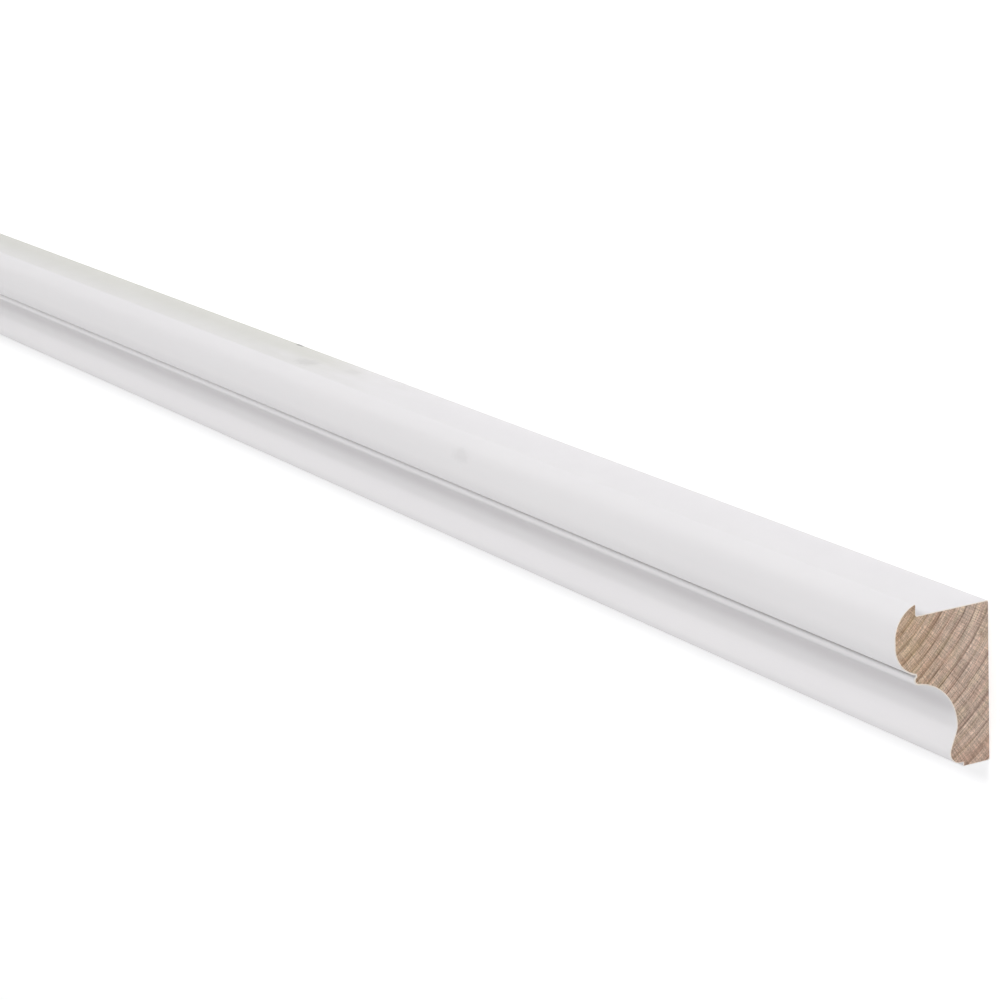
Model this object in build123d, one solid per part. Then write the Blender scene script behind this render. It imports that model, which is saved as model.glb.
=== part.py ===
from build123d import *
from math import acos, atan2, cos, degrees, hypot, radians, sin, sqrt
import os

# A light rail moulding: one length of hardwood, run through a moulding cutter.
# The section is drawn as (depth from the back, height from the base).
# The stock lies on its back: length along X, height along Y, depth along Z.

# Driving dimensions, in millimetres.
stock_length = 2400.0        # a length that the moulding is sold in
overall_height = 45.0        # base to the crest of the lip
overall_depth = 28.5         # back to the front of the nose

lip_rise = 3.0               # crest of the lip above the top land
lip_thickness = 6.4          # front of the nose to the inner wall of the lip

nose_radius = 8.6            # the half round nose
nose_flat = 1.8              # short flat at the front, between the nose's two arcs
nose_overhang = 5.7          # how far the nose stands in front of the bead

bead_radius = 1.45           # small bead under the nose
quirk_depth = 0.5            # fine groove between nose and bead, behind the bead's face
quirk_width = 0.2            # flat at the bottom of that groove

cove_wall = 10.0             # back to the bottom of the cove, where the wood is thinnest
cove_bottom_height = 11.2    # height of that place above the base
turn_radius = 4.0            # the curve that turns the cove out to the foot

foot_radius = 3.1            # bead at the foot
foot_projection = 2.2        # how far the foot bead stands in front of the thinnest wall
step_height = 1.1            # the foot bead's underside above the base
step_depth = 0.9             # the foot bead's lowest point in front of the base's edge

crest_easing = 0.35          # rounding of the lip's crest, towards the land
root_fillet = 0.55           # where the lip rises from the land
back_top_easing = 0.25       # rounding of the corners, left by sanding before the paint
back_base_easing = 0.5
base_front_easing = 0.35

# Worked out from them: the faces.
land_height = overall_height - lip_rise
lip_wall = overall_depth - lip_thickness
bead_face = overall_depth - nose_overhang
quirk_bottom = bead_face - quirk_depth
foot_face = cove_wall + foot_projection

# The nose. Its upper arc is placed so that the eased crest comes to the overall height.
nose_centre = overall_depth - nose_radius
crest_run = max(lip_wall + crest_easing - nose_centre, 0)
upper_centre = overall_height - crest_easing - sqrt((nose_radius - crest_easing) ** 2 - crest_run**2)
lower_centre = upper_centre - nose_flat
crest_angle = degrees(acos((lip_wall - nose_centre) / nose_radius))
quirk_angle = degrees(acos((quirk_bottom - nose_centre) / nose_radius))

# The small bead hangs from the groove under the nose.
bead_centre = bead_face - bead_radius
bead_top = lower_centre - nose_radius * sin(radians(quirk_angle)) - quirk_width
bead_angle = degrees(acos((quirk_bottom - bead_centre) / bead_radius))
bead_height = bead_top - bead_radius * sin(radians(bead_angle))

# The foot bead.
foot_centre = foot_face - foot_radius
foot_height = step_height + foot_radius
base_land = foot_centre - step_depth


def radius_to_wall(depth, height, radius):
    # Radius of the hollow that touches a bead and stands upright at the thinnest wall.
    across = cove_wall - depth
    up = cove_bottom_height - height
    return (across**2 + up**2 - radius**2) / (2 * (radius - across))


# The cove touches the small bead. Its direction from the bead is the angle of that touch.
cove_radius = radius_to_wall(bead_centre, bead_height, bead_radius)
cove_centre = cove_wall + cove_radius
cove_angle = degrees(atan2(cove_bottom_height - bead_height, cove_centre - bead_centre))

# A straight flank touches the turn and the foot bead.
turn_limit = radius_to_wall(foot_centre, foot_height, foot_radius)
turn = min(turn_radius, 0.95 * turn_limit) if turn_limit > 0 else turn_radius
turn_centre = cove_wall + turn
turn_across = turn_centre - foot_centre
turn_up = cove_bottom_height - foot_height
flank_tilt = degrees(atan2(turn_up, turn_across) - acos((turn + foot_radius) / hypot(turn_across, turn_up)))


def front_outline():
    # From the foot bead up to the crest, every curve running into the next.
    foot = CenterArc((foot_centre, foot_height), foot_radius, -90, 90 + flank_tilt)
    lower_turn = CenterArc((turn_centre, cove_bottom_height), turn, 180 + flank_tilt, -flank_tilt)
    cove = CenterArc((cove_centre, cove_bottom_height), cove_radius, 180, cove_angle)
    bead = CenterArc((bead_centre, bead_height), bead_radius, cove_angle, bead_angle - cove_angle)
    lower_nose = CenterArc((nose_centre, lower_centre), nose_radius, -quirk_angle, quirk_angle)
    upper_nose = CenterArc((nose_centre, upper_centre), nose_radius, 0, crest_angle)
    flank = Line(foot @ 1, lower_turn @ 0)
    quirk = Line(bead @ 1, lower_nose @ 0)
    front = Line(lower_nose @ 1, upper_nose @ 0)
    return [foot, flank, lower_turn, cove, bead, quirk, lower_nose, front, upper_nose]


def eased(face, corner, radius):
    # The section with its corner nearest to a given place rounded.
    nearest = face.vertices().sort_by_distance(Vector(*corner))[0]
    return fillet(nearest, radius)


def section():
    front = front_outline()
    crest = front[-1] @ 1
    back = Polyline(
        crest,
        (lip_wall, land_height),
        (0, land_height),
        (0, 0),
        (base_land, 0),
        (base_land, step_height),
        front[0] @ 0,
    )
    face = make_face(front + [back])
    corners = [
        (crest, crest_easing),
        ((lip_wall, land_height), root_fillet),
        ((0, land_height), back_top_easing),
        ((0, 0), back_base_easing),
        ((base_land, 0), base_front_easing),
    ]
    for corner, radius in corners:
        face = eased(face, tuple(corner)[:2], radius)
    return face


def moulding():
    # Depth runs up along Z and height runs along Y, centred on the length and the height.
    lying = Plane(origin=(0, -overall_height / 2, 0), x_dir=(0, 0, 1), z_dir=(-1, 0, 0))
    return extrude(lying * section(), amount=stock_length / 2, both=True)


os.makedirs("parts", exist_ok=True)
piece = moulding()
export_step(piece, "parts/moulding.step")

box = piece.bounding_box()
print("cove radius", round(cove_radius, 2), "flank tilt", round(flank_tilt, 1))
print("nose centres", round(upper_centre, 2), round(lower_centre, 2), "bead", round(bead_height, 2))
print("size", [round(v, 3) for v in tuple(box.size)], "volume", round(piece.volume))
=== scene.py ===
import math

import bmesh
import bpy
import numpy as np
from mathutils import Matrix, Quaternion, Vector, geometry, noise


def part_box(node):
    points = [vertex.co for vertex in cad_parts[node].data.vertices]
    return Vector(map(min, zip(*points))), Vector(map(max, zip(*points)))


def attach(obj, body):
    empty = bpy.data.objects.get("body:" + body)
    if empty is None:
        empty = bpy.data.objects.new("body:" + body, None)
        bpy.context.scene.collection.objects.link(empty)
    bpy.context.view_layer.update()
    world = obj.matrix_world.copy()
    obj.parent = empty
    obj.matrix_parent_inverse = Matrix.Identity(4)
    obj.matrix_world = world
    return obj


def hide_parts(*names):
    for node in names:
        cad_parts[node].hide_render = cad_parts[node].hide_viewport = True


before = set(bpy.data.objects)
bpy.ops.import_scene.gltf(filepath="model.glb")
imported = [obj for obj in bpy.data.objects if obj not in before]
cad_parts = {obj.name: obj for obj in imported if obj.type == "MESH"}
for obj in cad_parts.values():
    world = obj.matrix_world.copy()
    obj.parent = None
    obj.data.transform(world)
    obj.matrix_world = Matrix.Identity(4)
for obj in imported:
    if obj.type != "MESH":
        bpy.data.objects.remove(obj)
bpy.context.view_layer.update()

mm = 0.001
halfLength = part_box("moulding")[1].x
print("near end at x =", round(halfLength, 3))


def linear(hexColour):
    # an sRGB hex value as the linear colour that shaders use
    parts = [int(hexColour[i:i + 2], 16) / 255 for i in (1, 3, 5)]
    return [p / 12.92 if p <= 0.04045 else ((p + 0.055) / 1.055) ** 2.4 for p in parts] + [1.0]


def perMetre(millimetres):
    # the scale of a texture whose features are this wide
    return 1 / (millimetres * mm)


def addNode(tree, kind, settings=None, inputs=None, stops=()):
    # one node with its settings; an input is a value or the socket that feeds it,
    # and the stops are those of a colour ramp
    node = tree.nodes.new(kind)
    for name, value in (settings or {}).items():
        setattr(node, name, value)
    for key, value in (inputs or {}).items():
        if isinstance(value, bpy.types.NodeSocket):
            tree.links.new(value, node.inputs[key])
        else:
            node.inputs[key].default_value = value
    for i, (position, hexColour) in enumerate(stops):
        elements = node.color_ramp.elements
        element = elements[i] if i < 2 else elements.new(position)
        element.position = position
        element.color = linear(hexColour)
    return node


def newMaterial(name, settings):
    # a Principled material whose even values sit on the shader's own sockets
    material = bpy.data.materials.new(name)
    material.use_nodes = True
    tree = material.node_tree
    tree.nodes.clear()
    shader = addNode(tree, "ShaderNodeBsdfPrincipled", None, settings)
    addNode(tree, "ShaderNodeOutputMaterial", None, {"Surface": shader.outputs["BSDF"]})
    place = addNode(tree, "ShaderNodeTexCoord").outputs["Object"]
    return material, tree, shader, place


# The section, in millimetres: depth from the back, height from the base.
railSection = {
    "height": 45.0,
    "depth": 28.5,
    "lipRise": 3.0,
    "lipThickness": 6.4,
    "noseRadius": 8.6,
    "noseFlat": 1.8,
    "noseOverhang": 5.7,
    "beadRadius": 1.45,
    "quirkDepth": 0.5,
    "quirkWidth": 0.2,
    "coveWall": 10.0,
    "coveBottomHeight": 11.2,
    "turnRadius": 4.0,
    "footRadius": 3.1,
    "footProjection": 2.2,
    "stepHeight": 1.1,
    "stepDepth": 0.9,
    "crestEasing": 0.35,
    "rootFillet": 0.55,
    "backTopEasing": 0.25,
    "backBaseEasing": 0.5,
    "baseFrontEasing": 0.35,
    "chordError": 0.003,   # how far a facet may cut inside its arc
    "widestStep": 9.0,     # degrees of arc between two points, at most
    "support": 0.15,       # points this far from each end of a flat keep it flat in the light
    "closest": 0.0001,     # points nearer to each other than this are one
}


def arc(centre, radius, start, end):
    # points on an arc from one angle to another, in degrees
    s = railSection
    step = min(s["widestStep"], math.degrees(2 * math.acos(1 - s["chordError"] / radius)))
    count = max(3, math.ceil(abs(end - start) / step))
    angles = [math.radians(start + (end - start) * i / count) for i in range(count + 1)]
    return [(centre[0] + radius * math.cos(a), centre[1] + radius * math.sin(a)) for a in angles]


def angleFrom(a, b):
    # the direction from one point to another, in degrees
    return math.degrees(math.atan2(b[1] - a[1], b[0] - a[0]))


def drawSection():
    # the closed outline, from the base's front corner round the front, over the top and down the back,
    # and the place of the quirk
    s = railSection
    land = s["height"] - s["lipRise"]
    lipWall = s["depth"] - s["lipThickness"]
    beadFace = s["depth"] - s["noseOverhang"]
    quirkBottom = beadFace - s["quirkDepth"]
    crest, r = s["crestEasing"], s["noseRadius"]

    noseDepth = s["depth"] - r
    crestCentre = (lipWall + crest, s["height"] - crest)
    upper = (noseDepth, crestCentre[1] - math.sqrt((r - crest) ** 2 - (crestCentre[0] - noseDepth) ** 2))
    lower = (noseDepth, upper[1] - s["noseFlat"])
    quirkAngle = math.degrees(math.acos((quirkBottom - noseDepth) / r))

    b = s["beadRadius"]
    beadAngle = math.degrees(math.acos((quirkBottom - beadFace + b) / b))
    beadTop = lower[1] - r * math.sin(math.radians(quirkAngle)) - s["quirkWidth"]
    bead = (beadFace - b, beadTop - b * math.sin(math.radians(beadAngle)))

    # the cove touches the bead and stands upright where the wood is thinnest
    across, up = s["coveWall"] - bead[0], s["coveBottomHeight"] - bead[1]
    coveRadius = (across**2 + up**2 - b**2) / (2 * (b - across))
    cove = (s["coveWall"] + coveRadius, s["coveBottomHeight"])

    # the flank touches the turn and the foot bead
    f, t = s["footRadius"], s["turnRadius"]
    foot = (s["coveWall"] + s["footProjection"] - f, s["stepHeight"] + f)
    turn = (s["coveWall"] + t, s["coveBottomHeight"])
    spread = math.degrees(math.acos((f + t) / math.dist(foot, turn)))
    flank = angleFrom(foot, turn) - spread
    baseFront = foot[0] - s["stepDepth"]

    frontEase, backEase, topEase = s["baseFrontEasing"], s["backBaseEasing"], s["backTopEasing"]
    root = s["rootFillet"]
    runs = [
        arc((baseFront - frontEase, frontEase), frontEase, -90, 0),
        [(baseFront, s["stepHeight"])],
        arc(foot, f, -90, flank),
        arc(turn, t, 180 + flank, 180),
        arc(cove, coveRadius, 180, 180 + angleFrom(bead, cove)),
        arc(bead, b, angleFrom(bead, cove), beadAngle),
        arc(lower, r, -quirkAngle, 0),
        arc(upper, r, 0, angleFrom(upper, crestCentre)),
        arc(crestCentre, crest, angleFrom(upper, crestCentre), 180),
        arc((lipWall - root, land + root), root, 0, -90),
        arc((topEase, land - topEase), topEase, 90, 180),
        arc((backEase, backEase), backEase, 180, 270),
    ]
    points = [p for run in runs for p in run]
    points = [p for i, p in enumerate(points) if math.dist(p, points[i - 1]) > s["closest"]]
    return points, (quirkBottom, beadTop + s["quirkWidth"] / 2)


def withSupports(points):
    # long flats get a point close to each end, so that their shading stays flat
    out = []
    gap = railSection["support"]
    for a, b in zip(points, points[1:] + points[:1]):
        out.append(a)
        length = math.dist(a, b)
        if length > 4 * gap:
            step = ((b[0] - a[0]) * gap / length, (b[1] - a[1]) * gap / length)
            out += [(a[0] + step[0], a[1] + step[1]), (b[0] - step[0], b[1] - step[1])]
    return out


corners, quirk = drawSection()
outline = withSupports(corners)
print("section drawn with", len(outline), "points")


# How the stock is run: the section swept along the length, with its two sawn ends.
railRun = {
    "name": "paintedMoulding",
    "cuts": 97,            # cross cuts along the length
    "arris": 0.1,          # the saw leaves this much of a chamfer round each end
    "weld": 0.001,         # points closer than this are joined
    "creaseAngle": 28,     # edges sharper than this stay sharp in the light
    "endPitch": 0.38,      # spacing of the points that carry the relief of a sawn end
    "endClear": 0.6,       # how near to the rim the first of them lies, in pitches
    "sawRelief": 0.035,    # how deep that relief is
    "sawPitch": 2.3,       # distance between two strokes of the blade
    "sawSlant": 0.18,      # how far a stroke climbs over each millimetre of depth
    "sawShare": 0.3,       # share of the relief that the strokes make
    # the uneven bite of the blade; each: bumps a millimetre, seed, share
    "bites": [(0.9, 3.7, 0.4), (2.6, 9.1, 0.3)],
    "rimFade": 0.6,        # the relief dies out this close to the rim
    "film": 0.22,          # coats of primer and paint, seen edge on at the saw cut
    "filmPool": 0.2,       # how much thicker the paint has gathered beside the quirk
    "poolReach": 9.0,      # and how far from the quirk that ends
    "crestFilm": 0.05,     # how little of it stays on the lip's sharp crest
    "crestReach": 3.0,     # and how far from the crest it is whole again
}


def profileCurve(points):
    # the outline as a closed curve; the sweep lays its X along -Y and its Y along -Z
    curve = bpy.data.curves.new("railProfile", "CURVE")
    curve.dimensions = "2D"
    spline = curve.splines.new("POLY")
    spline.points.add(len(points) - 1)
    for point, (depth, height) in zip(spline.points, points):
        point.co = ((railSection["height"] / 2 - height) * mm, -depth * mm, 0, 1)
    spline.use_cyclic_u = True
    profile = bpy.data.objects.new("railProfile", curve)
    bpy.context.scene.collection.objects.link(profile)
    return profile


def sweepTree():
    # sweeps a profile along a straight line, then dresses it in paint with a bare back
    tree = bpy.data.node_groups.new("runTheRail", "GeometryNodeTree")
    tree.interface.new_socket("Profile", in_out="INPUT", socket_type="NodeSocketGeometry")
    tree.interface.new_socket("Half Length", in_out="INPUT", socket_type="NodeSocketFloat")
    tree.interface.new_socket("Cuts", in_out="INPUT", socket_type="NodeSocketInt")
    tree.interface.new_socket("Paint", in_out="INPUT", socket_type="NodeSocketMaterial")
    tree.interface.new_socket("Bare Back", in_out="INPUT", socket_type="NodeSocketMaterial")
    tree.interface.new_socket("Rail", in_out="OUTPUT", socket_type="NodeSocketGeometry")
    given = addNode(tree, "NodeGroupInput").outputs

    minus = addNode(tree, "ShaderNodeMath", {"operation": "MULTIPLY"}, {0: given["Half Length"], 1: -1.0})
    start = addNode(tree, "ShaderNodeCombineXYZ", None, {"X": minus.outputs[0]})
    end = addNode(tree, "ShaderNodeCombineXYZ", None, {"X": given["Half Length"]})
    line = addNode(tree, "GeometryNodeCurvePrimitiveLine", None,
                   {"Start": start.outputs[0], "End": end.outputs[0]})
    path = addNode(tree, "GeometryNodeResampleCurve", None,
                   {"Curve": line.outputs[0], "Count": given["Cuts"]})
    rail = addNode(tree, "GeometryNodeCurveToMesh", None,
                   {"Curve": path.outputs[0], "Profile Curve": given["Profile"]})
    outwards = addNode(tree, "GeometryNodeFlipFaces", None, {"Mesh": rail.outputs[0]})
    painted = addNode(tree, "GeometryNodeSetMaterial", None,
                      {"Geometry": outwards.outputs[0], "Material": given["Paint"]})

    # the back is the flat that faces straight down
    straightDown = -0.999
    normal = addNode(tree, "GeometryNodeInputNormal")
    split = addNode(tree, "ShaderNodeSeparateXYZ", None, {"Vector": normal.outputs[0]})
    isBack = addNode(tree, "FunctionNodeCompare", {"data_type": "FLOAT", "operation": "LESS_THAN"},
                     {0: split.outputs["Z"], 1: straightDown})
    real = addNode(tree, "GeometryNodeRealizeInstances", None, {"Geometry": painted.outputs[0]})
    backed = addNode(tree, "GeometryNodeSetMaterial", None,
                     {"Geometry": real.outputs[0], "Selection": isBack.outputs[0],
                      "Material": given["Bare Back"]})
    addNode(tree, "NodeGroupOutput", None, {"Rail": backed.outputs[0]})
    return tree


def sweptMesh(profile, values):
    # runs the tree on the profile and returns the result as a plain mesh
    tree = sweepTree()
    modifier = profile.modifiers.new("sweep", "NODES")
    modifier.node_group = tree
    for item in tree.interface.items_tree:
        if item.in_out == "INPUT" and item.name in values:
            modifier[item.identifier] = values[item.name]
    bpy.context.view_layer.update()
    graph = bpy.context.evaluated_depsgraph_get()
    mesh = bpy.data.meshes.new_from_object(profile.evaluated_get(graph))
    profile.modifiers.remove(modifier)
    bpy.data.objects.remove(profile)
    return mesh


def edgeDistance(points, loop, painted=False):
    # distance from each point to the nearest side of a closed loop, or to the nearest painted one:
    # all are but the back
    a = np.array(loop)
    b = np.roll(a, -1, axis=0)
    best = np.full(len(points), np.inf)
    for start, end in zip(a, b):
        if painted and max(start[0], end[0]) < railSection["closest"]:
            continue
        side = end - start
        t = np.clip(((points - start) @ side) / (side @ side), 0, 1)
        best = np.minimum(best, np.linalg.norm(points - start - t[:, None] * side, axis=1))
    return best


def insideLoop(points, loop):
    # which points lie inside a closed loop, by counting crossings
    inside = np.zeros(len(points), bool)
    for (x0, y0), (x1, y1) in zip(loop, loop[1:] + loop[:1]):
        if y0 == y1:
            continue
        crosses = (points[:, 1] > min(y0, y1)) & (points[:, 1] <= max(y0, y1))
        inside ^= crosses & (points[:, 0] < x0 + (points[:, 1] - y0) * (x1 - x0) / (y1 - y0))
    return inside


def insetLoop(loop, distance):
    # the loop moved into the wood by an even distance, mitred at its corners,
    # where no mitre runs further than twice that distance
    out = []
    count = len(loop)
    for i, point in enumerate(loop):
        before, after = Vector(loop[i - 1]), Vector(loop[(i + 1) % count])
        first, second = (Vector(point) - before).normalized(), (after - Vector(point)).normalized()
        inwards = Vector((-first.y - second.y, first.x + second.x))
        inwards.normalize()
        cosine = max(0.5, inwards.dot(Vector((-first.y, first.x))))
        out.append(tuple(Vector(point) + inwards * distance / cosine))
    return out


def sawnEnd():
    # the triangles of one end face: its chamfer, then a fine field of points that carries the saw marks
    rim = insetLoop(outline, railRun["arris"])
    pitch = railRun["endPitch"]
    across = np.arange(0, railSection["depth"], pitch)
    up = np.arange(0, railSection["height"], pitch * math.sqrt(3) / 2)
    field = np.array([(x + (row % 2) * pitch / 2, y) for row, y in enumerate(up) for x in across])
    field = field[insideLoop(field, rim)]
    field = field[edgeDistance(field, rim) > pitch * railRun["endClear"]]
    points = [Vector(p) for p in rim] + [Vector(p) for p in field]
    sides = [(i, (i + 1) % len(rim)) for i in range(len(rim))]
    # type 1 keeps only the triangles inside the rim
    made = geometry.delaunay_2d_cdt(points, sides, [], 1, 1e-7)
    places = np.array([tuple(p) for p in made[0]])
    return places, made[2], edgeDistance(places, rim)


def relief(depth, height, fromRim):
    # saw strokes with an uneven bite, fading out at the rim, in millimetres below the face
    run = railRun
    stroke = math.sin(2 * math.pi * (height + run["sawSlant"] * depth) / run["sawPitch"])
    bite = run["sawShare"] * (0.5 + 0.5 * stroke)
    for scale, seed, share in run["bites"]:
        bump = noise.noise(Vector((depth * scale, height * scale, seed)))
        bite += share * (0.5 + 0.5 * bump)
    return run["sawRelief"] * bite * min(1, fromRim / run["rimFade"])


def closeEnds(mesh, endMaterialIndex):
    # adds the chamfer and the face of both ends, and welds them to the swept sides
    places, triangles, fromRim = sawnEnd()
    shape = bmesh.new()
    shape.from_mesh(mesh)
    drop = railSection["height"] / 2
    count = len(outline)
    for side in (1, -1):
        x = side * (halfLength - railRun["arris"] * mm)
        outer = [shape.verts.new((x, (h - drop) * mm, d * mm)) for d, h in outline]
        face = []
        for (d, h), rim in zip(places, fromRim):
            down = relief(d, h, rim)
            face.append(shape.verts.new((side * (halfLength - down * mm), (h - drop) * mm, d * mm)))
        for i in range(count):
            j = (i + 1) % count
            made = shape.faces.new([outer[i], outer[j], face[j], face[i]][::side])
            made.material_index = endMaterialIndex
        for a, b, c in triangles:
            made = shape.faces.new([face[a], face[b], face[c]][::side])
            made.material_index = endMaterialIndex
    bmesh.ops.remove_doubles(shape, verts=shape.verts[:], dist=railRun["weld"] * mm)
    bmesh.ops.recalc_face_normals(shape, faces=shape.faces[:])
    shape.to_mesh(mesh)
    shape.free()


def storeFilm(mesh):
    # how far each point of an end face lies inside the bare wood, past the cut edge of the paint
    places = np.array([v.co for v in mesh.vertices])
    section = np.stack([places[:, 2] / mm, places[:, 1] / mm + railSection["height"] / 2], axis=1)
    ends = np.abs(places[:, 0]) > halfLength - 2 * railRun["arris"] * mm
    fromQuirk = np.linalg.norm(section[ends] - np.array(quirk), axis=1)
    pool = railRun["filmPool"] * np.clip(1 - fromQuirk / railRun["poolReach"], 0, 1)
    crest = np.array([railSection["depth"] - railSection["lipThickness"], railSection["height"]])
    fromCrest = np.clip(np.linalg.norm(section[ends] - crest, axis=1) / railRun["crestReach"], 0, 1)
    film = railRun["crestFilm"] + (railRun["film"] - railRun["crestFilm"]) * fromCrest + pool
    inside = np.zeros(len(places))
    inside[ends] = edgeDistance(section[ends], outline, painted=True) - film
    attribute = mesh.attributes.new("insideWood", "FLOAT", "POINT")
    attribute.data.foreach_set("value", inside.astype(np.float32))


# Growth rings of the board that the moulding was cut from, in millimetres.
woodFigure = {
    "pithDepth": 51.0,       # the heart of the tree lies out past the nose
    "pithHeight": 68.0,
    "ringWidth": 3.2,
    "ringShift": 0.42,       # share of a ring that the whole pattern is moved by
    "unevenness": 0.8,       # how far a ring may lie from its even place, in rings
    "unevenScale": 0.55,     # waves of that a ring
    "wobble": 0.5,           # how far the rings wander from true circles
    "wobbleSize": 14.0,      # length of such a wave
    "straightness": 0.03,    # how much of that wandering shows along the stock
    "middleRadius": 58.0,    # from the heart to the middle of the section
    "faintYears": (67.4, 73.8),  # two years hardly show, this far from the heart
}


def ringNodes(tree, place):
    # polar coordinates about the heart, and how far through its year each point is
    w = woodFigure
    centre = (0.0, (w["pithHeight"] - railSection["height"] / 2) * mm, w["pithDepth"] * mm)

    # the rings wander a little, slowly along the stock
    along = addNode(tree, "ShaderNodeMapping", None,
                    {"Vector": place, "Location": ((1 - w["straightness"]) * halfLength, 0, 0),
                     "Scale": (w["straightness"], 1.0, 1.0)})
    wander = addNode(tree, "ShaderNodeTexNoise", {"noise_dimensions": "3D"},
                     {"Vector": along.outputs[0], "Scale": perMetre(w["wobbleSize"]),
                      "Detail": 3.0, "Roughness": 0.55})
    offset = addNode(tree, "ShaderNodeVectorMath", {"operation": "SUBTRACT"},
                     {0: wander.outputs["Color"], 1: (0.5, 0.5, 0.5)})
    scaled = addNode(tree, "ShaderNodeVectorMath", {"operation": "SCALE"},
                     {0: offset.outputs[0], "Scale": 2 * w["wobble"] * mm})
    moved = addNode(tree, "ShaderNodeVectorMath", {"operation": "ADD"}, {0: place, 1: scaled.outputs[0]})
    about = addNode(tree, "ShaderNodeVectorMath", {"operation": "SUBTRACT"},
                    {0: moved.outputs[0], 1: centre})
    parts = addNode(tree, "ShaderNodeSeparateXYZ", None, {"Vector": about.outputs[0]})
    flat = addNode(tree, "ShaderNodeCombineXYZ", None, {"X": parts.outputs["Y"], "Y": parts.outputs["Z"]})
    radius = addNode(tree, "ShaderNodeVectorMath", {"operation": "LENGTH"}, {0: flat.outputs[0]})
    angle = addNode(tree, "ShaderNodeMath", {"operation": "ARCTAN2"},
                    {0: parts.outputs["Y"], 1: parts.outputs["Z"]})
    years = addNode(tree, "ShaderNodeMath", {"operation": "MULTIPLY_ADD"},
                    {0: radius.outputs["Value"], 1: perMetre(w["ringWidth"]), 2: w["ringShift"]})
    drift = addNode(tree, "ShaderNodeTexNoise", {"noise_dimensions": "1D"},
                    {"W": years.outputs[0], "Scale": w["unevenScale"], "Detail": 1.0})
    uneven = addNode(tree, "ShaderNodeMath", {"operation": "MULTIPLY_ADD"},
                     {0: drift.outputs[0], 1: w["unevenness"], 2: years.outputs[0]})
    year = addNode(tree, "ShaderNodeMath", {"operation": "FLOOR"}, {0: uneven.outputs[0]})
    season = addNode(tree, "ShaderNodeMath", {"operation": "FRACT"}, {0: uneven.outputs[0]})
    return {"radius": radius.outputs["Value"], "angle": angle.outputs[0],
            "year": year.outputs[0], "season": season.outputs[0]}


def alongRings(tree, rings, length, width, detail=2.0):
    # noise drawn out along the rings, or towards the heart where the length is the shorter one
    turns = woodFigure["middleRadius"] / length
    around = addNode(tree, "ShaderNodeMath", {"operation": "MULTIPLY"}, {0: rings["angle"], 1: turns})
    outwards = addNode(tree, "ShaderNodeMath", {"operation": "MULTIPLY"},
                       {0: rings["radius"], 1: perMetre(width)})
    spot = addNode(tree, "ShaderNodeCombineXYZ", None, {"X": around.outputs[0], "Y": outwards.outputs[0]})
    drawnOut = addNode(tree, "ShaderNodeTexNoise", {"noise_dimensions": "2D"},
                       {"Vector": spot.outputs[0], "Scale": 1.0, "Detail": detail, "Roughness": 0.6})
    return drawnOut.outputs[0]


# Settings that the materials share.
# A Map Range's inputs are value, from low, from high, to low and to high.
colourMix = {"data_type": "RGBA"}
colourTimes = {"data_type": "RGBA", "blend_type": "MULTIPLY"}
softStep = {"interpolation_type": "SMOOTHSTEP"}
noiseLow = 0.3               # nearly all of a noise lies between these two
noiseHigh = 0.7

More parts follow.
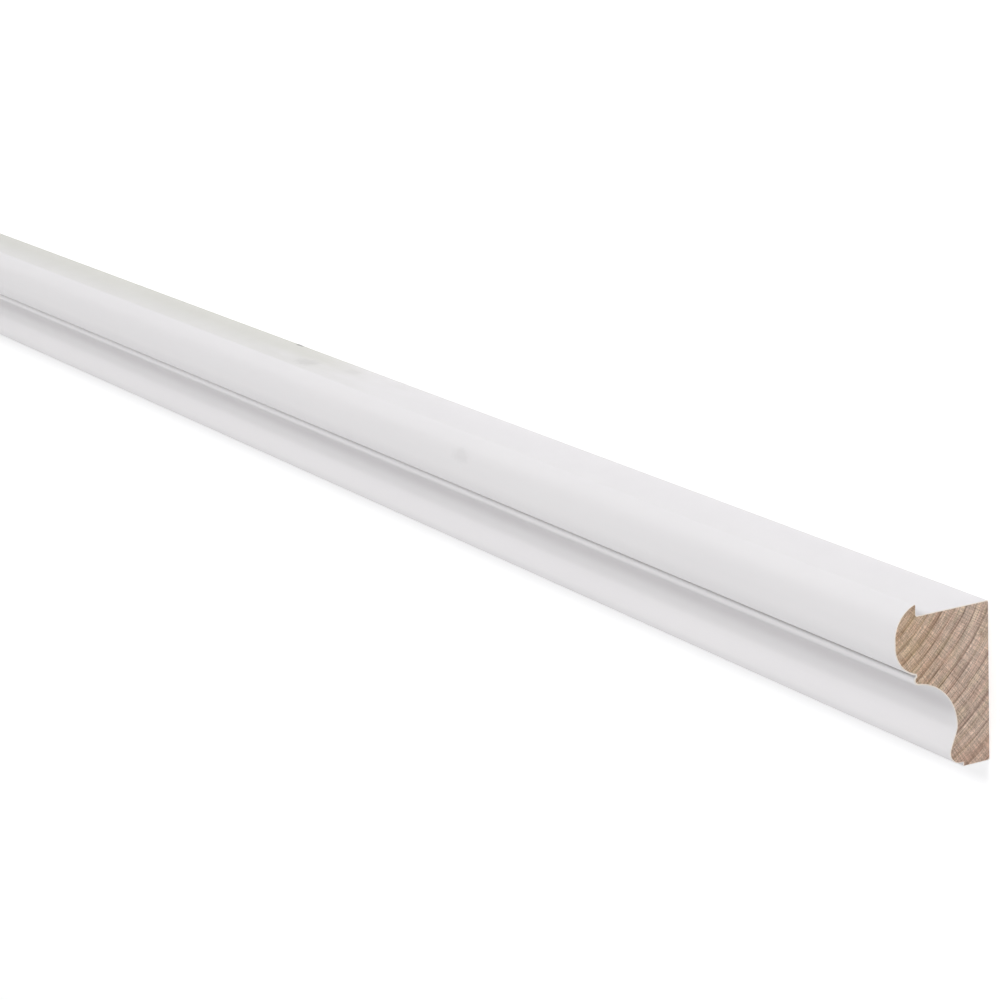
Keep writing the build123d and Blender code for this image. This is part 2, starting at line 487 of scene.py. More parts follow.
sawnWood = {
    "spring": "#DDC4B2",     # wood of the spring, light and pinkish
    "summer": "#C9B09F",
    "autumn": "#AD8E7B",     # darker towards the end of the year
    "yearLine": "#6B4C38",
    "pale": "#CFC1B6",
    "dull": "#93816F",
    "yellow": "#C9AB84",
    "red": "#BE947B",
    "rosy": "#D8AE9B",
    "olive": "#D3C4A0",
    "rayShade": "#7D6453",
    "filmEdge": "#FBF4EC",
    # how the colours of a year follow one another, by the share of its width
    "year": [(0.0, "summer"), (0.05, "spring"), (0.4, "spring"), (0.66, "summer"),
             (0.86, "autumn"), (0.91, "yearLine"), (0.97, "yearLine"), (1.0, "summer")],
    "yearLuck": 0.2,         # a whole year may be fainter by this share
    "yearBreaks": (6.0, 2.4, 0.4, 0.66, 0.22),  # and parts of its line too, as the patches below
    "faintShare": 0.6,       # the years that hardly show lose this much,
    "faintCore": 0.9,        # all of it this near to their place
    "faintReach": 1.7,       # and nothing this far away
    # slow patches, each: length along the rings, width across them, noise at which it starts,
    # noise at which it is full, share, colour
    "patches": [(14.0, 1.5, 0.54, 0.7, 0.45, "autumn"), (6.0, 2.6, 0.5, 0.68, 0.42, "autumn"),
                (7.0, 3.1, 0.5, 0.62, 0.3, "rosy"), (9.0, 2.0, 0.5, 0.66, 0.28, "olive")],
    "darkRays": (0.3, 6.0, 0.44, 0.26, 0.16, "rayShade"),  # the same, drawn out towards the heart
    # paler at the back, duller in the web, yellower at the nose, redder at the foot: axis, from, to, share
    "slopes": [("Z", 20, 2, 0.28, "pale"), ("Z", 5, 10, 0.1, "dull"), ("Z", 9, 27, 0.34, "yellow"),
               ("Y", -12.5, -21.5, 0.28, "red")],
    # fine lines: rays straight at the heart, rows of vessels along the rings, coarser than real ones;
    # each: length along the rings, width across them, lowest and highest tone
    "lines": [(0.32, 7.0, 0.87, 1.13), (7.0, 0.3, 0.82, 1.18)],
    "scratchPitch": 0.75,    # scratches of the saw's teeth
    "scratchAngle": -38,
    "scratchStretch": 0.06,
    "fibreWidth": 0.34,      # torn fibres, also coarser than real ones
    "fibreLow": 0.7,         # lowest and highest tone of them
    "fibreHigh": 1.3,
    "fibreNoise": (0.34, 0.66),  # the noise at which they have these
    "tornDepth": 0.05,
    "poreSpacing": 1.7,
    "poreFade": (0.05, 0.12),  # dark up to the first share of that spacing, gone at the second
    "poreShare": 0.55,
    "knotPlace": (2.2, 33.6),  # a pin knot, as depth and height
    "knotSize": 0.9,
    "knotFade": (1.3, 2.4),  # dark up to so many sizes from its middle, gone at so many
    "knotRagged": 2.6,
    "knotShare": 0.6,
    "chipSize": 0.9,         # chips along the cut edge of the paint
    "chipDepth": 0.16,
    "filmFade": (0.05, 0.14),  # where the cut edge of the paint gives way to wood
    "filmShare": 0.92,
}


def patched(tree, rings, body, patch):
    # the wood with soft patches of another colour along its rings
    length, width, start, full, share, colour = patch
    where = addNode(tree, "ShaderNodeMapRange", None,
                    {0: alongRings(tree, rings, length, width), 1: start, 2: full, 3: 0.0, 4: share})
    return addNode(tree, "ShaderNodeMix", colourMix,
                   {0: where.outputs[0], 6: body, 7: linear(sawnWood[colour])}).outputs[2]


def sawnBeech():
    # Beech cut across the grain: dull and fibrous, with rings, fine rays and the paint film seen edge on.
    material, tree, shader, place = newMaterial(
        "sawnBeech", {"Roughness": 0.82, "Specular IOR Level": 0.25, "IOR": 1.5})
    w = sawnWood
    rings = ringNodes(tree, place)
    parts = addNode(tree, "ShaderNodeSeparateXYZ", None, {"Vector": place})

    # every year darkens outwards and ends in a thin line; some hardly show, and none is even along its arc
    yearly = addNode(tree, "ShaderNodeValToRGB", None, {"Fac": rings["season"]},
                     [(at, w[colour]) for at, colour in w["year"]])
    luck = addNode(tree, "ShaderNodeTexWhiteNoise", {"noise_dimensions": "1D"}, {"W": rings["year"]})
    length, width, start, full, share = w["yearBreaks"]
    breaks = addNode(tree, "ShaderNodeMapRange", None,
                     {0: alongRings(tree, rings, length, width), 1: start, 2: full, 3: 0.0, 4: share})
    fade = addNode(tree, "ShaderNodeMath", {"operation": "MULTIPLY_ADD"},
                   {0: luck.outputs["Value"], 1: w["yearLuck"], 2: breaks.outputs[0]}).outputs[0]
    for at in woodFigure["faintYears"]:
        off = addNode(tree, "ShaderNodeMath", {"operation": "SUBTRACT"}, {0: rings["radius"], 1: at * mm})
        far = addNode(tree, "ShaderNodeMath", {"operation": "ABSOLUTE"}, {0: off.outputs[0]})
        faint = addNode(tree, "ShaderNodeMapRange", None,
                        {0: far.outputs[0], 1: w["faintCore"] * mm, 2: w["faintReach"] * mm,
                         3: w["faintShare"], 4: 0.0})
        fade = addNode(tree, "ShaderNodeMath", {"operation": "MAXIMUM"},
                       {0: fade, 1: faint.outputs[0]}).outputs[0]
    body = addNode(tree, "ShaderNodeMix", colourMix,
                   {0: fade, 6: yearly.outputs[0], 7: linear(w["summer"])}).outputs[2]

    # slow patches of tone and of hue, then slopes over the whole section
    for patch in w["patches"]:
        body = patched(tree, rings, body, patch)
    for axis, start, end, share, colour in w["slopes"]:
        slope = addNode(tree, "ShaderNodeMapRange", softStep,
                        {0: parts.outputs[axis], 1: start * mm, 2: end * mm, 3: 0.0, 4: share})
        body = addNode(tree, "ShaderNodeMix", colourMix,
                       {0: slope.outputs[0], 6: body, 7: linear(w[colour])}).outputs[2]

    # rays, a few of them dark, and vessels
    body = patched(tree, rings, body, w["darkRays"])
    for length, width, low, high in w["lines"]:
        lines = addNode(tree, "ShaderNodeMapRange", None,
                        {0: alongRings(tree, rings, length, width, detail=0.0),
                         1: noiseLow, 2: noiseHigh, 3: low, 4: high})
        body = addNode(tree, "ShaderNodeMix", colourTimes,
                       {0: 1.0, 6: body, 7: lines.outputs[0]}).outputs[2]

    # scratches of the saw, all one way, and torn fibres
    turned = addNode(tree, "ShaderNodeMapping", None,
                     {"Vector": place, "Rotation": (math.radians(w["scratchAngle"]), 0, 0),
                      "Scale": (1.0, 1.0, w["scratchStretch"])})
    scratch = addNode(tree, "ShaderNodeTexNoise", None,
                      {"Vector": turned.outputs[0], "Scale": perMetre(w["scratchPitch"]), "Detail": 2.0})
    fibre = addNode(tree, "ShaderNodeTexNoise", None,
                    {"Vector": place, "Scale": perMetre(w["fibreWidth"]),
                     "Detail": 3.0, "Roughness": 0.95})
    both = addNode(tree, "ShaderNodeMath", {"operation": "ADD"},
                   {0: scratch.outputs[0], 1: fibre.outputs[0]})
    start, full = w["fibreNoise"]
    torn = addNode(tree, "ShaderNodeMapRange", None,
                   {0: fibre.outputs[0], 1: start, 2: full, 3: w["fibreLow"], 4: w["fibreHigh"]})
    body = addNode(tree, "ShaderNodeMix", colourTimes, {0: 1.0, 6: body, 7: torn.outputs[0]}).outputs[2]

    # open pores, and one pin knot with a ragged rim
    pores = addNode(tree, "ShaderNodeTexVoronoi", {"voronoi_dimensions": "3D"},
                    {"Vector": place, "Scale": perMetre(w["poreSpacing"])})
    core, rim = w["poreFade"]
    pore = addNode(tree, "ShaderNodeMapRange", None,
                   {0: pores.outputs["Distance"], 1: core, 2: rim, 3: w["poreShare"], 4: 0.0})
    body = addNode(tree, "ShaderNodeMix", colourMix,
                   {0: pore.outputs[0], 6: body, 7: linear(w["yearLine"])}).outputs[2]
    depth, height = w["knotPlace"]
    size = w["knotSize"] * mm
    fromKnot = addNode(tree, "ShaderNodeVectorMath", {"operation": "DISTANCE"},
                       {0: place, 1: (halfLength, (height - railSection["height"] / 2) * mm, depth * mm)})
    ragged = addNode(tree, "ShaderNodeMath", {"operation": "MULTIPLY_ADD"},
                     {0: fibre.outputs[0], 1: w["knotRagged"] * size, 2: fromKnot.outputs["Value"]})
    core, rim = w["knotFade"]
    knot = addNode(tree, "ShaderNodeMapRange", None,
                   {0: ragged.outputs[0], 1: core * size, 2: rim * size, 3: w["knotShare"], 4: 0.0})
    body = addNode(tree, "ShaderNodeMix", colourMix,
                   {0: knot.outputs[0], 6: body, 7: linear(w["yearLine"])}).outputs[2]

    # the cut edge of the paint film, uneven where the saw chipped it
    inside = addNode(tree, "ShaderNodeAttribute", {"attribute_name": "insideWood"})
    chips = addNode(tree, "ShaderNodeTexNoise", None,
                    {"Vector": place, "Scale": perMetre(w["chipSize"]), "Detail": 2.0})
    edge = addNode(tree, "ShaderNodeMath", {"operation": "MULTIPLY_ADD"},
                   {0: chips.outputs[0], 1: w["chipDepth"], 2: inside.outputs["Fac"]})
    paint, wood = w["filmFade"]
    onFilm = addNode(tree, "ShaderNodeMapRange", None,
                     {0: edge.outputs[0], 1: paint, 2: wood, 3: w["filmShare"], 4: 0.0})
    body = addNode(tree, "ShaderNodeMix", colourMix,
                   {0: onFilm.outputs[0], 6: body, 7: linear(w["filmEdge"])}).outputs[2]
    tree.links.new(body, shader.inputs["Base Color"])

    bump = addNode(tree, "ShaderNodeBump", None,
                   {"Height": both.outputs[0], "Strength": 0.6, "Distance": w["tornDepth"] * mm})
    tree.links.new(bump.outputs[0], shader.inputs["Normal"])
    return material


bareBack = {
    "light": "#D0B59A",
    "dark": "#B3947A",
    "fleck": "#9A785F",      # where a ray comes to the surface
    "fleckWidth": 0.35,
    "fleckStretch": 0.12,    # its width by its length
    "fleckNoise": (0.6, 0.7),  # the noise at which it starts, and at which it is full
    "fleckShare": 0.7,
    "streakWidth": 0.6,      # streaks of tone along the grain
    "streakStretch": 0.02,
    "streakLow": 0.9,        # lowest and highest tone of them
    "streakHigh": 1.08,
    "mist": "#E7E3DF",       # paint that drifted round the edges when the face was sprayed
    "mistReach": 3.0,
    "mistGrain": 1.2,
    "mistStretch": 0.1,
    "mistRagged": 1.6,       # how far its noise moves it, in reaches
    "mistStart": -0.1,       # and where it starts, counted from the edge
    "mistShare": 0.9,
    "knifePitch": 1.8,       # millimetres between two marks of the planer's knives
    "knifeShare": 0.3,       # how much they stand out against the streaks
    "rippleDepth": 0.02,
}


def planedBeech():
    # Beech planed along the grain: smooth and dry, with long rings, short brown flecks and knife marks.
    material, tree, shader, place = newMaterial(
        "planedBeech", {"Roughness": 0.62, "IOR": 1.5, "Specular IOR Level": 0.35})
    b = bareBack
    rings = ringNodes(tree, place)
    yearly = addNode(tree, "ShaderNodeValToRGB", None, {"Fac": rings["season"]},
                     [(0.0, b["light"]), (0.5, b["light"]), (0.93, b["dark"]), (1.0, b["light"])])

    # short dark flecks and long streaks of tone
    stretch = addNode(tree, "ShaderNodeMapping", None,
                      {"Vector": place, "Scale": (b["fleckStretch"], 1.0, 1.0)})
    fleck = addNode(tree, "ShaderNodeTexNoise", None,
                    {"Vector": stretch.outputs[0], "Scale": perMetre(b["fleckWidth"]), "Detail": 1.0})
    start, full = b["fleckNoise"]
    isFleck = addNode(tree, "ShaderNodeMapRange", None,
                      {0: fleck.outputs[0], 1: start, 2: full, 3: 0.0, 4: b["fleckShare"]})
    body = addNode(tree, "ShaderNodeMix", colourMix,
                   {0: isFleck.outputs[0], 6: yearly.outputs[0], 7: linear(b["fleck"])}).outputs[2]
    fibres = addNode(tree, "ShaderNodeMapping", None,
                     {"Vector": place, "Scale": (b["streakStretch"], 1.0, 1.0)})
    streak = addNode(tree, "ShaderNodeTexNoise", None,
                     {"Vector": fibres.outputs[0], "Scale": perMetre(b["streakWidth"]), "Detail": 3.0})
    tone = addNode(tree, "ShaderNodeMapRange", None,
                   {0: streak.outputs[0], 1: noiseLow, 2: noiseHigh,
                    3: b["streakLow"], 4: b["streakHigh"]})
    body = addNode(tree, "ShaderNodeMix", colourTimes, {0: 1.0, 6: body, 7: tone.outputs[0]}).outputs[2]

    # drifted paint along both edges
    middle = -railSection["lipRise"] / 2 * mm
    halfBack = (railSection["height"] - railSection["lipRise"]) / 2 * mm
    parts = addNode(tree, "ShaderNodeSeparateXYZ", None, {"Vector": place})
    offMiddle = addNode(tree, "ShaderNodeMath", {"operation": "SUBTRACT"},
                        {0: parts.outputs["Y"], 1: middle})
    out = addNode(tree, "ShaderNodeMath", {"operation": "ABSOLUTE"}, {0: offMiddle.outputs[0]})
    drawn = addNode(tree, "ShaderNodeMapping", None,
                    {"Vector": place, "Scale": (b["mistStretch"], 1.0, 1.0)})
    drift = addNode(tree, "ShaderNodeTexNoise", None,
                    {"Vector": drawn.outputs[0], "Scale": perMetre(b["mistGrain"]),
                     "Detail": 4.0, "Roughness": 0.7})
    reach = b["mistReach"] * mm
    ragged = addNode(tree, "ShaderNodeMath", {"operation": "MULTIPLY_ADD"},
                     {0: drift.outputs[0], 1: b["mistRagged"] * reach, 2: out.outputs[0]})
    mist = addNode(tree, "ShaderNodeMapRange", softStep,
                   {0: ragged.outputs[0], 1: halfBack + b["mistStart"] * reach,
                    2: halfBack + reach, 3: 0.0, 4: b["mistShare"]})
    body = addNode(tree, "ShaderNodeMix", colourMix,
                   {0: mist.outputs[0], 6: body, 7: linear(b["mist"])}).outputs[2]
    tree.links.new(body, shader.inputs["Base Color"])

    # the planer's knives leave shallow ripples; a wave texture repeats ten times in pi units
    knives = addNode(tree, "ShaderNodeTexWave", {"wave_type": "BANDS", "bands_direction": "X"},
                     {"Vector": place, "Scale": perMetre(b["knifePitch"]) * math.pi / 10})
    height = addNode(tree, "ShaderNodeMath", {"operation": "MULTIPLY_ADD"},
                     {0: knives.outputs["Fac"], 1: b["knifeShare"], 2: streak.outputs[0]})
    bump = addNode(tree, "ShaderNodeBump", None,
                   {"Height": height.outputs[0], "Strength": 0.5, "Distance": b["rippleDepth"] * mm})
    tree.links.new(bump.outputs[0], shader.inputs["Normal"])
    return material


satinCoat = {
    "white": "#EEECED",
    "shade": "#E9E7E9",      # in slow clouds, drawn out along the stock
    "cloudSize": 16.0,
    "cloudStretch": 0.15,
    "roughest": 0.47,        # the gloss varies a little, between these two
    "smoothest": 0.38,
    "glossSize": 9.0,
    "peelSize": 1.6,         # millimetres between two dimples of the sprayed coat
    "peelDepth": 0.015,
    "grainWidth": 0.7,       # grain of the wood that shows through, across and along
    "grainLength": 45.0,
    "grainDepth": 0.012,
    "quirkShade": "#A19D9B",  # painted shade in the fine groove under the nose
    "quirkReach": 0.8,
    "quirkCore": 0.4,        # share of that reach in which it is darkest
    "quirkShare": 0.36,
    "quirkShadeTo": 420.0,         # most of it near the end, none this far behind
    "paintedShade": "#CFC9CD",       # painted shade, darker deep in the cove and under the foot; each place: depth, height, reach, share
    "paintedShadePlaces": [(11.2, 16.0, 3.8, 0.34), (10.4, 1.1, 2.4, 1.0)],
    "grime": "#D3D3CA",      # handled and dusty on the top land
    "grimeShare": 0.7,
    "grimeFrom": 200.0,      # behind the near end it starts here,
    "grimeFull": 340.0,      # is full here,
    "grimeFades": 690.0,     # fades from here
    "grimeTo": 1150.0,       # and is gone here
    "grimeRagged": 160.0,    # its patches start up to this much further back
    "grimeSize": 9.0,
    "grimeAcross": (23.0, 6.0),  # nothing at this depth, behind the lip, and all of it at that one
    "landEdge": 0.3,         # it ends this far below the land
    "mark": "#8D8A88",
    "markGrain": 2.2,
    "markFade": (0.9, 1.5),  # full up to so many half sizes from its middle, gone at so many
    # each mark: behind the near end, depth, height, half its length, half its width, strength
    "marks": [(394, 0.6, 42.0, 3.6, 0.9, 0.85), (367, 11.0, 42.0, 8.0, 4.5, 0.16),
              (342, 6.0, 42.0, 6.0, 3.0, 0.1), (224, 27.9, 39.6, 7.0, 2.6, 0.09)],
}


def satinPaint():
    # White satin paint sprayed on sanded hardwood: soft broad gloss, faint peel, a trace of grain.
    s = satinCoat
    material, tree, shader, place = newMaterial("satinPaint", {"IOR": 1.5})
    cloud = addNode(tree, "ShaderNodeMapping", None,
                    {"Vector": place, "Scale": (s["cloudStretch"], 1.0, 1.0)})
    tone = addNode(tree, "ShaderNodeTexNoise", None,
                   {"Vector": cloud.outputs[0], "Scale": perMetre(s["cloudSize"]), "Detail": 2.0})
    colour = addNode(tree, "ShaderNodeMix", colourMix,
                     {0: tone.outputs[0], 6: linear(s["white"]), 7: linear(s["shade"])}).outputs[2]
    parts = addNode(tree, "ShaderNodeSeparateXYZ", None, {"Vector": place})
    drop = railSection["height"] / 2
    land = railSection["height"] - railSection["lipRise"] - drop

    # grime on the top land, in soft patches that begin some way behind the near end
    onLand = addNode(tree, "ShaderNodeMapRange", None,
                     {0: parts.outputs["Y"], 1: (land - s["landEdge"]) * mm, 2: land * mm,
                      3: 0.0, 4: 1.0})
    clean, grimed = s["grimeAcross"]
    behindLip = addNode(tree, "ShaderNodeMapRange", None,
                        {0: parts.outputs["Z"], 1: clean * mm, 2: grimed * mm, 3: 0.0, 4: 1.0})
    patches = addNode(tree, "ShaderNodeTexNoise", None,
                      {"Vector": cloud.outputs[0], "Scale": perMetre(s["grimeSize"]),
                       "Detail": 3.0, "Roughness": 0.6})
    spread = addNode(tree, "ShaderNodeMath", {"operation": "MULTIPLY_ADD"},
                     {0: patches.outputs[0], 1: s["grimeRagged"] * mm, 2: parts.outputs["X"]})
    begins = addNode(tree, "ShaderNodeMapRange", softStep,
                     {0: spread.outputs[0], 1: halfLength - s["grimeFrom"] * mm,
                      2: halfLength - s["grimeFull"] * mm, 3: 0.0, 4: s["grimeShare"]})
    ends = addNode(tree, "ShaderNodeMapRange", softStep,
                   {0: parts.outputs["X"], 1: halfLength - s["grimeTo"] * mm,
                    2: halfLength - s["grimeFades"] * mm, 3: 0.0, 4: 1.0})
    grimy = onLand.outputs[0]
    for part in (behindLip, begins, ends):
        grimy = addNode(tree, "ShaderNodeMath", {"operation": "MULTIPLY"},
                        {0: grimy, 1: part.outputs[0]}).outputs[0]
    colour = addNode(tree, "ShaderNodeMix", colourMix,
                     {0: grimy, 6: colour, 7: linear(s["grime"])}).outputs[2]

    # scuffs and one chipped place, each a ragged oval
    ragged = addNode(tree, "ShaderNodeTexNoise", None,
                     {"Vector": place, "Scale": perMetre(s["markGrain"]), "Detail": 3.0})
    core, rim = s["markFade"]
    for back, depth, height, long, wide, strength in s["marks"]:
        centre = (halfLength - back * mm, (height - drop) * mm, depth * mm)
        off = addNode(tree, "ShaderNodeVectorMath", {"operation": "SUBTRACT"}, {0: place, 1: centre})
        oval = addNode(tree, "ShaderNodeVectorMath", {"operation": "MULTIPLY"},
                       {0: off.outputs[0], 1: (perMetre(long), perMetre(wide), perMetre(wide))})
        far = addNode(tree, "ShaderNodeVectorMath", {"operation": "LENGTH"}, {0: oval.outputs[0]})
        torn = addNode(tree, "ShaderNodeMath", {"operation": "ADD"},
                       {0: far.outputs["Value"], 1: ragged.outputs[0]})
        mark = addNode(tree, "ShaderNodeMapRange", None,
                       {0: torn.outputs[0], 1: core, 2: rim, 3: strength, 4: 0.0})
        colour = addNode(tree, "ShaderNodeMix", colourMix,
                         {0: mark.outputs[0], 6: colour, 7: linear(s["mark"])}).outputs[2]

    # painted shade deep in the cove, under the foot and in the quirk
    across = addNode(tree, "ShaderNodeCombineXYZ", None,
                     {"Y": parts.outputs["Y"], "Z": parts.outputs["Z"]})
    # painted shade: a darker grey laid on where the cove and the foot's underside fall in shade
    for depth, height, reach, share in s["paintedShadePlaces"]:
        off = addNode(tree, "ShaderNodeVectorMath", {"operation": "DISTANCE"},
                      {0: across.outputs[0], 1: (0.0, (height - drop) * mm, depth * mm)})
        paintedShade = addNode(tree, "ShaderNodeMapRange", softStep,
                       {0: off.outputs["Value"], 1: 0, 2: reach * mm, 3: share, 4: 0.0})
        colour = addNode(tree, "ShaderNodeMix", colourMix,
                         {0: paintedShade.outputs[0], 6: colour, 7: linear(s["paintedShade"])}).outputs[2]
    # painted shade in the quirk, the crease under the nose, strongest near the end and none far behind
    gap = addNode(tree, "ShaderNodeVectorMath", {"operation": "DISTANCE"},
                  {0: across.outputs[0], 1: (0.0, (quirk[1] - drop) * mm, quirk[0] * mm)})
    reach = s["quirkReach"] * mm
    near = addNode(tree, "ShaderNodeMapRange", None,
                   {0: parts.outputs["X"], 1: halfLength - s["quirkShadeTo"] * mm, 2: halfLength,
                    3: 0.0, 4: 1.0})
    share = addNode(tree, "ShaderNodeMapRange", None,
                    {0: gap.outputs["Value"], 1: s["quirkCore"] * reach, 2: reach,
                     3: s["quirkShare"], 4: 0.0})
    quirkShading = addNode(tree, "ShaderNodeMath", {"operation": "MULTIPLY"},
                   {0: share.outputs[0], 1: near.outputs[0]})
    colour = addNode(tree, "ShaderNodeMix", colourMix,
                     {0: quirkShading.outputs[0], 6: colour, 7: linear(s["quirkShade"])}).outputs[2]
    tree.links.new(colour, shader.inputs["Base Color"])

    gloss = addNode(tree, "ShaderNodeTexNoise", None,
                    {"Vector": place, "Scale": perMetre(s["glossSize"]), "Detail": 3.0})
    roughness = addNode(tree, "ShaderNodeMapRange", None,
                        {0: gloss.outputs[0], 1: noiseLow, 2: noiseHigh,
                         3: s["smoothest"], 4: s["roughest"]})
    tree.links.new(roughness.outputs[0], shader.inputs["Roughness"])

    peel = addNode(tree, "ShaderNodeTexNoise", None,
                   {"Vector": place, "Scale": perMetre(s["peelSize"]), "Detail": 2.0})
    grainPlace = addNode(tree, "ShaderNodeMapping", None,
                         {"Vector": place, "Scale": (s["grainWidth"] / s["grainLength"], 1.0, 1.0)})
    grain = addNode(tree, "ShaderNodeTexNoise", None,
                    {"Vector": grainPlace.outputs[0], "Scale": perMetre(s["grainWidth"]), "Detail": 2.0})
    first = addNode(tree, "ShaderNodeBump", None,
                    {"Height": peel.outputs[0], "Strength": 0.5, "Distance": s["peelDepth"] * mm})
    second = addNode(tree, "ShaderNodeBump", None,
                     {"Height": grain.outputs[0], "Strength": 0.5, "Distance": s["grainDepth"] * mm,
                      "Normal": first.outputs[0]})
    tree.links.new(second.outputs[0], shader.inputs["Normal"])
    return material


# The piece's own map: both ends large along the top, the sides unrolled below them.
mapLayout = {
    "margin": 0.005,
    "endWidth": 0.49,        # shares of the map's side
    "endFrom": 0.685,
    "endHeight": 0.31,
    "sidesHeight": 0.665,
}


def layMap(mesh):
    # lays each corner of a face by its place along the stock and round the outline, or on the end face
    m = mapLayout
    layer = mesh.uv_layers.new(name="OFBake")
    places = np.empty(len(mesh.vertices) * 3)
    mesh.vertices.foreach_get("co", places)
    places = places.reshape(-1, 3)
    height, depth = railSection["height"], railSection["depth"]
    inDepth, inHeight = places[:, 2] / mm, places[:, 1] / mm + height / 2
    loop = np.array(outline + outline[:1])
    run = np.concatenate([[0], np.cumsum(np.linalg.norm(np.diff(loop, axis=0), axis=1))])
    girth = run[-1]
    nearest = [np.argmin((loop[:-1, 0] - d) ** 2 + (loop[:-1, 1] - h) ** 2)
               for d, h in zip(inDepth, inHeight)]
    around = run[nearest]
    uv = np.zeros((len(mesh.loops), 2))
    for face in mesh.polygons:
        corners = [mesh.loops[i].vertex_index for i in face.loop_indices]
        isEnd = abs(face.normal.x) > 0.5
        turns = around[corners]
        # a face across the end of the outline isn't torn
        if turns.max() - turns.min() > girth / 2:
            turns = np.where(turns < girth / 2, turns + girth, turns)
        for i, corner, turn in zip(face.loop_indices, corners, turns):
            x = places[corner, 0]
            if isEnd:
                left = m["margin"] + (0.0 if x > 0 else 0.5)
                uv[i] = (left + m["endWidth"] * inHeight[corner] / height,
                         m["endFrom"] + m["endHeight"] * inDepth[corner] / depth)
            else:
                uv[i] = (m["margin"] + (1 - 2 * m["margin"]) * (x + halfLength) / (2 * halfLength),
                         m["margin"] + m["sidesHeight"] * turn / girth)
    layer.data.foreach_set("uv", uv.ravel())


def buildMoulding():
    paint, ends, back = satinPaint(), sawnBeech(), planedBeech()
    print("paint and wood mixed")
    mesh = sweptMesh(profileCurve(outline), {
        "Half Length": halfLength - railRun["arris"] * mm,
        "Cuts": railRun["cuts"],
        "Paint": paint,
        "Bare Back": back,
    })
    mesh.materials.append(ends)
    print("swept, with the materials", [m.name for m in mesh.materials])
    closeEnds(mesh, len(mesh.materials) - 1)
    storeFilm(mesh)
    mesh.shade_smooth()
    mesh.set_sharp_from_angle(angle=math.radians(railRun["creaseAngle"]))
    layMap(mesh)
    rail = bpy.data.objects.new(railRun["name"], mesh)
    bpy.context.scene.collection.objects.link(rail)
    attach(rail, "root")
    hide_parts("moulding")
    print("moulding built with", len(mesh.polygons), "faces")
    return rail


# The camera stands where the photograph was taken from.
cameraRig = {
    "place": (1.8056, 0.2510, 0.4622),
    "aim": (0.9478, -0.0076, 0.0),
    "roll": -100.72,         # the picture's upright runs along the section's height
    "lens": 114.24,
    "clip": (0.01, 200),
}


def placeCamera():
    rig = cameraRig
    camera = bpy.data.objects.new("camera", bpy.data.cameras.new("camera"))
    bpy.context.scene.collection.objects.link(camera)
    place, aim = Vector(rig["place"]), Vector(rig["aim"])
    turn = (aim - place).to_track_quat("-Z", "Y") @ Quaternion((0, 0, 1), math.radians(rig["roll"]))
    camera.matrix_world = Matrix.Translation(place) @ turn.to_matrix().to_4x4()
    camera.data.lens = rig["lens"]
    camera.data.clip_start, camera.data.clip_end = rig["clip"]
    bpy.context.scene.camera = camera


# Soft boxes: a key at the lip side and a fill at the base side, each as a short one near the end
# and a long one over the whole length, and one far out before the near end.
studio = {
    "air": 0.332,            # light of the room itself, from every side
    "card": "#F2F2F3",
    "floorSize": 60.0,
    "floorGlow": 0.38,       # lifts the card to white in the picture, its shadows too
    "lamps": [
        {"name": "keyBox", "size": (0.7, 0.7), "watts": 9.3,
         "place": (1.25, 1.2, 1.34), "aim": (1.25, 0, 0)},
        {"name": "baseBox", "size": (0.7, 0.7), "watts": 6.2,
         "place": (1.3, -1.63, 0.76), "aim": (1.3, 0, 0)},
        {"name": "longKey", "size": (5.0, 0.7), "watts": 15,
         "place": (0, 1.2, 1.34), "aim": (0, 0, 0)},
        {"name": "longBase", "size": (5.0, 0.7), "watts": 6,
         "place": (0, -1.63, 0.76), "aim": (0, 0, 0)},
        {"name": "endBox", "size": (1.6, 1.6), "watts": 45.7,
         "place": (6.0, 0.9, 1.6), "aim": (1.2, 0, 0)},
    ],
    "outOfGloss": ("longKey", "longBase"),  # their long strips would show in the satin
}


def seenRays(tree):
    # 1 for rays that reach the camera straight, off a gloss or through glass, so that all see a white room
    ray = addNode(tree, "ShaderNodeLightPath").outputs
    direct = addNode(tree, "ShaderNodeMath", {"operation": "MAXIMUM"},
                     {0: ray["Is Camera Ray"], 1: ray["Is Transmission Ray"]})
    return addNode(tree, "ShaderNodeMath", {"operation": "MAXIMUM"},
                   {0: direct.outputs[0], 1: ray["Is Glossy Ray"]}).outputs[0]


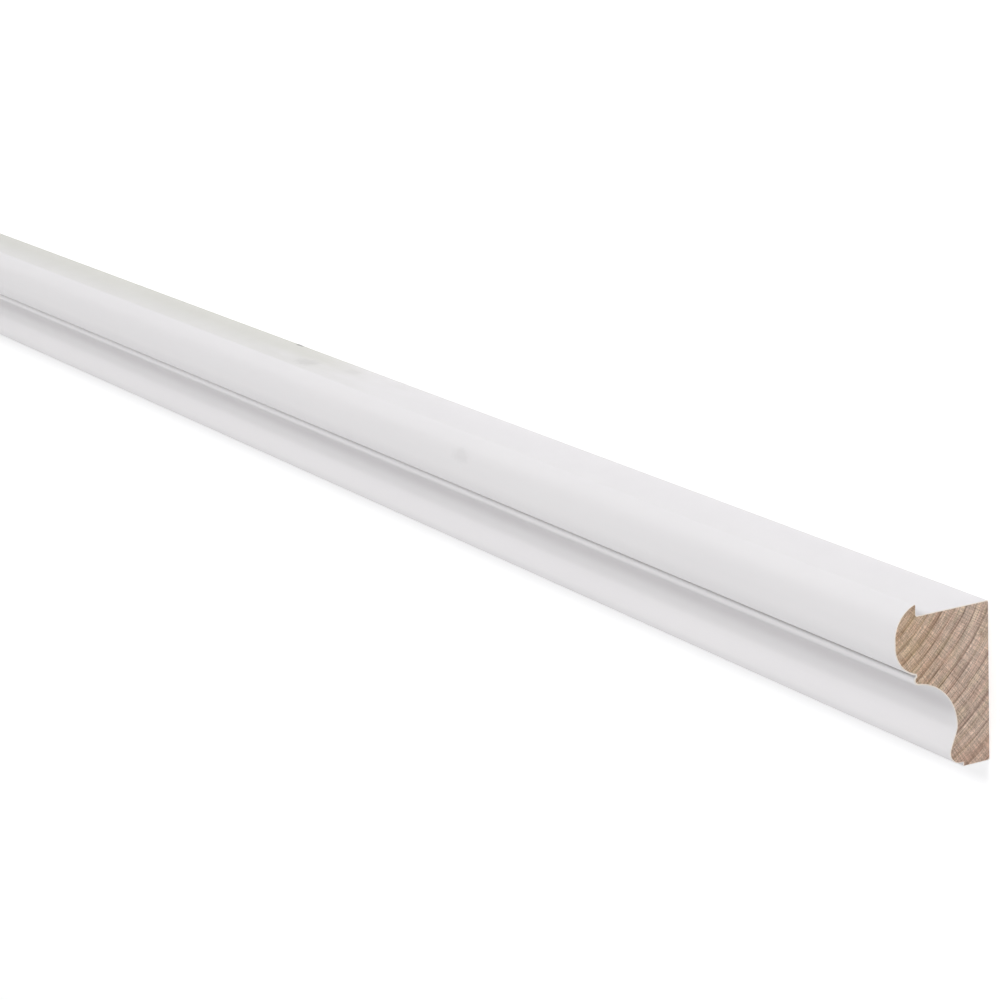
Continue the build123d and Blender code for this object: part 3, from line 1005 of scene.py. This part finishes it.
def lightRoom():
    world = bpy.data.worlds.new("room")
    bpy.context.scene.world = world
    world.use_nodes = True
    tree = world.node_tree
    tree.nodes.clear()
    strength = addNode(tree, "ShaderNodeMapRange", None, {0: seenRays(tree), 3: studio["air"], 4: 1.0})
    air = addNode(tree, "ShaderNodeBackground", None,
                  {"Color": linear("#FFFFFF"), "Strength": strength.outputs[0]})
    addNode(tree, "ShaderNodeOutputWorld", None, {"Surface": air.outputs[0]})
    for lamp in studio["lamps"]:
        name = lamp["name"]
        light = bpy.data.lights.new(name, "AREA")
        light.shape = "RECTANGLE"
        light.size, light.size_y = lamp["size"]
        light.energy = lamp["watts"]
        holder = bpy.data.objects.new(name, light)
        holder.visible_glossy = name not in studio["outOfGloss"]
        bpy.context.scene.collection.objects.link(holder)
        place = Vector(lamp["place"])
        turn = (Vector(lamp["aim"]) - place).to_track_quat("-Z", "Y")
        holder.matrix_world = Matrix.Translation(place) @ turn.to_matrix().to_4x4()


def layFloor():
    # White card: it shows as white, and only the moulding's own shadow is darker.
    material = bpy.data.materials.new("whiteCard")
    material.use_nodes = True
    tree = material.node_tree
    tree.nodes.clear()
    card = addNode(tree, "ShaderNodeBsdfDiffuse", None, {"Color": linear(studio["card"])})
    glow = addNode(tree, "ShaderNodeEmission", None, {"Strength": studio["floorGlow"]})
    both = addNode(tree, "ShaderNodeAddShader", None, {0: card.outputs[0], 1: glow.outputs[0]})
    seen = addNode(tree, "ShaderNodeMixShader", None,
                   {0: seenRays(tree), 1: card.outputs[0], 2: both.outputs[0]})
    addNode(tree, "ShaderNodeOutputMaterial", None, {"Surface": seen.outputs[0]})
    half = studio["floorSize"] / 2
    mesh = bpy.data.meshes.new("floor")
    mesh.from_pydata([(-half, -half, 0), (half, -half, 0), (half, half, 0), (-half, half, 0)],
                     [], [(0, 1, 2, 3)])
    mesh.materials.append(material)
    floor = bpy.data.objects.new("floor", mesh)
    bpy.context.scene.collection.objects.link(floor)


placeCamera()
print("camera placed")
buildMoulding()
lightRoom()
layFloor()
print("room lit")

bpy.context.scene.view_settings.view_transform = "Standard"
